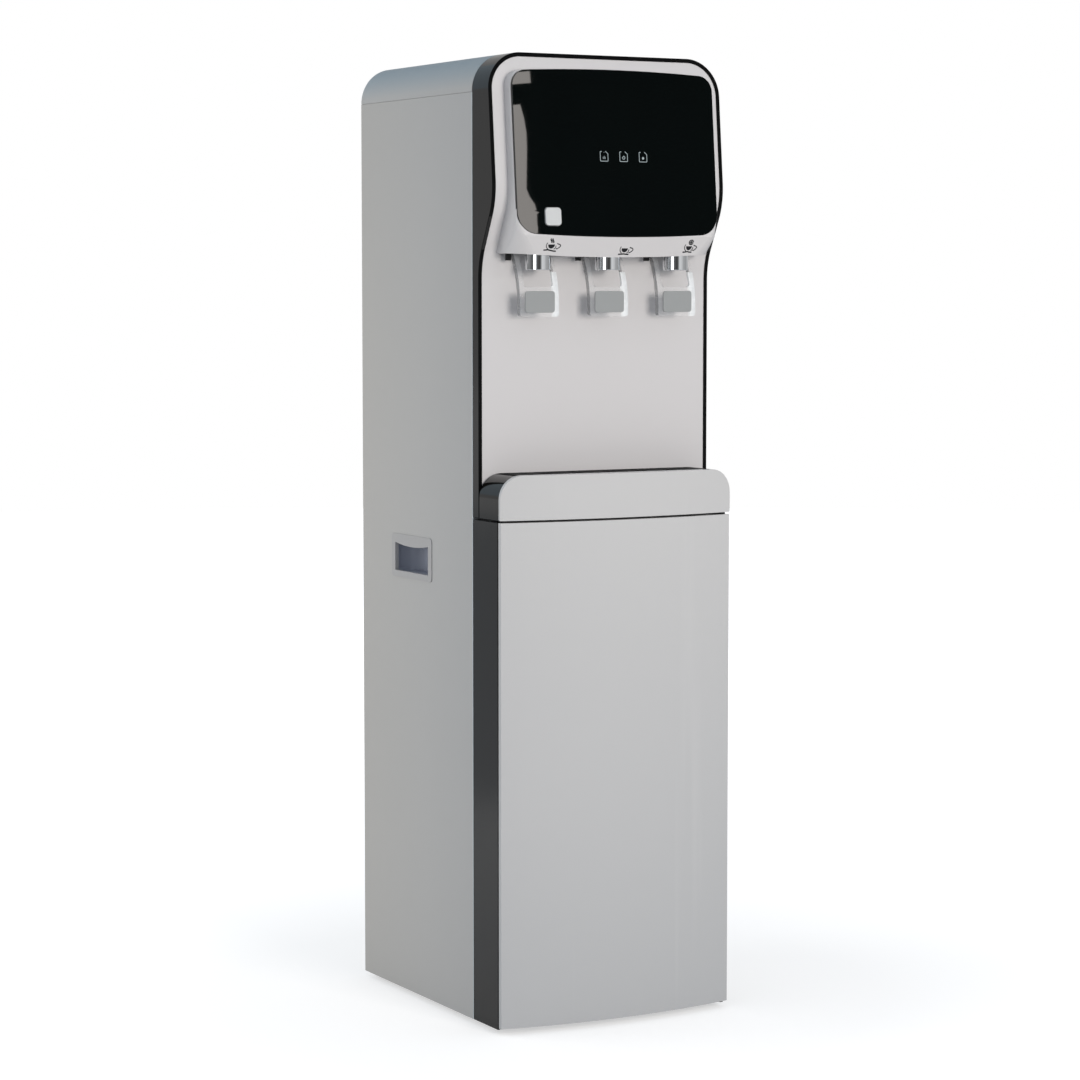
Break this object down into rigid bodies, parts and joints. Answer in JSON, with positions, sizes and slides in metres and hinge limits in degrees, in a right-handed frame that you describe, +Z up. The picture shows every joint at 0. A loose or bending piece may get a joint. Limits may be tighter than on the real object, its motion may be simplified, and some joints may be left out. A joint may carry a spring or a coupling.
{
  "type": "floor-standing water dispenser",
  "caption": "Slim floor-standing water dispenser: leaning black control panel, chrome spouts with clear push levers, drip tray, bowed filter-bay door, grey side panels.",
  "frame": {"origin": "centre of the bounding box at floor level", "axes": "+Z up, -Y towards the user, +X to the right seen from the front"},
  "size_m": [0.302, 0.37, 1.1],
  "materials": {
    "steel_silver": "satin silver-grey paint",
    "steel_plain": "plain galvanised sheet",
    "cover_grey": "gloss blue-grey moulding",
    "bezel_dark": "gloss charcoal moulding",
    "white_gloss": "gloss white moulding",
    "panel_black": "black glass",
    "board_green": "circuit board",
    "grip_white": "satin off-white moulding",
    "tray_dark": "satin black moulding",
    "hinge_black": "black oxide steel",
    "grille_metal": "brushed stainless sheet",
    "liner_white": "satin white moulding",
    "zinc": "zinc-plated steel",
    "filter_white": "white cartridge housing",
    "valve_cream": "cream moulding",
    "tube_blue": "blue polyethylene tube",
    "stainless": "brushed stainless steel",
    "foam": "expanded foam",
    "copper": "copper tube",
    "reservoir_clear": "milky polypropylene",
    "compressor_black": "black enamel",
    "rubber": "black rubber",
    "switch_red": "red rocker",
    "switch_green": "green rocker",
    "chrome": "polished chrome",
    "lever_clear": "clear polycarbonate",
    "pad_grey": "grey inlay"
  },
  "bodies": {
    "cabinet": {"base_plate": "steel_plain", "feet": "rubber", "left_side_panel": "steel_silver", "right_side_panel": "steel_silver", "back_panel": "steel_plain", "back_screws": "zinc", "top_cover": "cover_grey", "upper_bezel": "bezel_dark", "front_fascia": "white_gloss", "control_panel": "panel_black", "control_board": "board_green", "left_grip": "grip_white", "right_grip": "grip_white", "tray_housing": "bezel_dark", "tray_cover": "white_gloss", "door_hinges": "hinge_black", "door_magnet": "tray_dark", "left_lower_trim": "bezel_dark", "right_lower_trim": "bezel_dark", "partition_plate": "steel_plain", "tank_deck": "steel_plain", "filter_manifold": "liner_white", "inlet_fitting": "liner_white", "solenoid_valve": "valve_cream", "water_tubes": "tube_blue", "cold_tank": "stainless", "cold_tank_insulation": "foam", "evaporator_coil": "copper", "hot_tank": "stainless", "thermostats": "valve_cream", "reservoir_stand": "steel_plain", "reservoir_tank": "reservoir_clear", "reservoir_lid": "liner_white", "float_valve": "liner_white", "compressor": "compressor_black", "compressor_mounts": "rubber", "condenser_coil": "compressor_black", "filter_drier": "copper", "power_inlet": "tray_dark", "switch_plate": "tray_dark", "tap_valves": "tray_dark", "tap_brackets": "tray_dark", "spouts": "chrome"},
    "door": {"door_panel": "white_gloss", "door_frame": "liner_white", "door_strike": "zinc"},
    "lift_out_tray": {"drip_tray": "tray_dark"},
    "tray_grille": {"drip_grille": "grille_metal"},
    "button": {"safety_button": "white_gloss"},
    "hot_rocker": {"hot_switch": "switch_red"},
    "cold_rocker": {"cold_switch": "switch_green"},
    "hot_tap_lever": {"hot_lever": "lever_clear", "hot_pad": "pad_grey"},
    "ambient_tap_lever": {"ambient_lever": "lever_clear", "ambient_pad": "pad_grey"},
    "cold_tap_lever": {"cold_lever": "lever_clear", "cold_pad": "pad_grey"},
    "first_cartridge": {"sediment_filter": "filter_white"},
    "second_cartridge": {"carbon_filter": "filter_white"},
    "third_cartridge": {"membrane_filter": "filter_white"}
  },
  "joints": [
    {"name": "door_hinge", "type": "hinge", "parent": "cabinet", "child": "door", "pos_m": [0.143, -0.1646, 0.293], "axis": [0, 0, 1], "range_deg": [0, 100]},
    {"name": "tray_lift", "type": "slide", "parent": "cabinet", "child": "lift_out_tray", "axis": [0, 0, 1], "range_m": [0, 0.06]},
    {"name": "grille_lift", "type": "slide", "parent": "lift_out_tray", "child": "tray_grille", "axis": [0, 0, 1], "range_m": [0, 0.03]},
    {"name": "safety_button_press", "type": "slide", "parent": "cabinet", "child": "button", "axis": [0, 0.996, -0.0889], "range_m": [0, 0.0018], "stiffness_N_per_m": 600, "springref_m": -0.0015},
    {"name": "hot_rocker_tilt", "type": "hinge", "parent": "cabinet", "child": "hot_rocker", "pos_m": [0.061, 0.17, 0.166], "axis": [1, 0, 0], "range_deg": [0, 18]},
    {"name": "cold_rocker_tilt", "type": "hinge", "parent": "cabinet", "child": "cold_rocker", "pos_m": [0.087, 0.17, 0.166], "axis": [1, 0, 0], "range_deg": [0, 18]},
    {"name": "hot_lever_hinge", "type": "hinge", "parent": "cabinet", "child": "hot_tap_lever", "pos_m": [-0.0895, -0.121, 0.893], "axis": [1, 0, 0], "range_deg": [0, 12], "stiffness_Nm_per_rad": 0.35, "springref_deg": -11.46},
    {"name": "ambient_lever_hinge", "type": "hinge", "parent": "cabinet", "child": "ambient_tap_lever", "pos_m": [0, -0.121, 0.893], "axis": [1, 0, 0], "range_deg": [0, 12], "stiffness_Nm_per_rad": 0.35, "springref_deg": -11.46},
    {"name": "cold_lever_hinge", "type": "hinge", "parent": "cabinet", "child": "cold_tap_lever", "pos_m": [0.0895, -0.121, 0.893], "axis": [1, 0, 0], "range_deg": [0, 12], "stiffness_Nm_per_rad": 0.35, "springref_deg": -11.46},
    {"name": "first_cartridge_turn", "type": "hinge", "parent": "cabinet", "child": "first_cartridge", "pos_m": [-0.084, -0.059, 0.306], "axis": [0, 0, 1], "range_deg": [0, 90]},
    {"name": "second_cartridge_turn", "type": "hinge", "parent": "cabinet", "child": "second_cartridge", "pos_m": [0, -0.059, 0.306], "axis": [0, 0, 1], "range_deg": [0, 90]},
    {"name": "third_cartridge_turn", "type": "hinge", "parent": "cabinet", "child": "third_cartridge", "pos_m": [0.084, -0.059, 0.306], "axis": [0, 0, 1], "range_deg": [0, 90]}
  ]
}
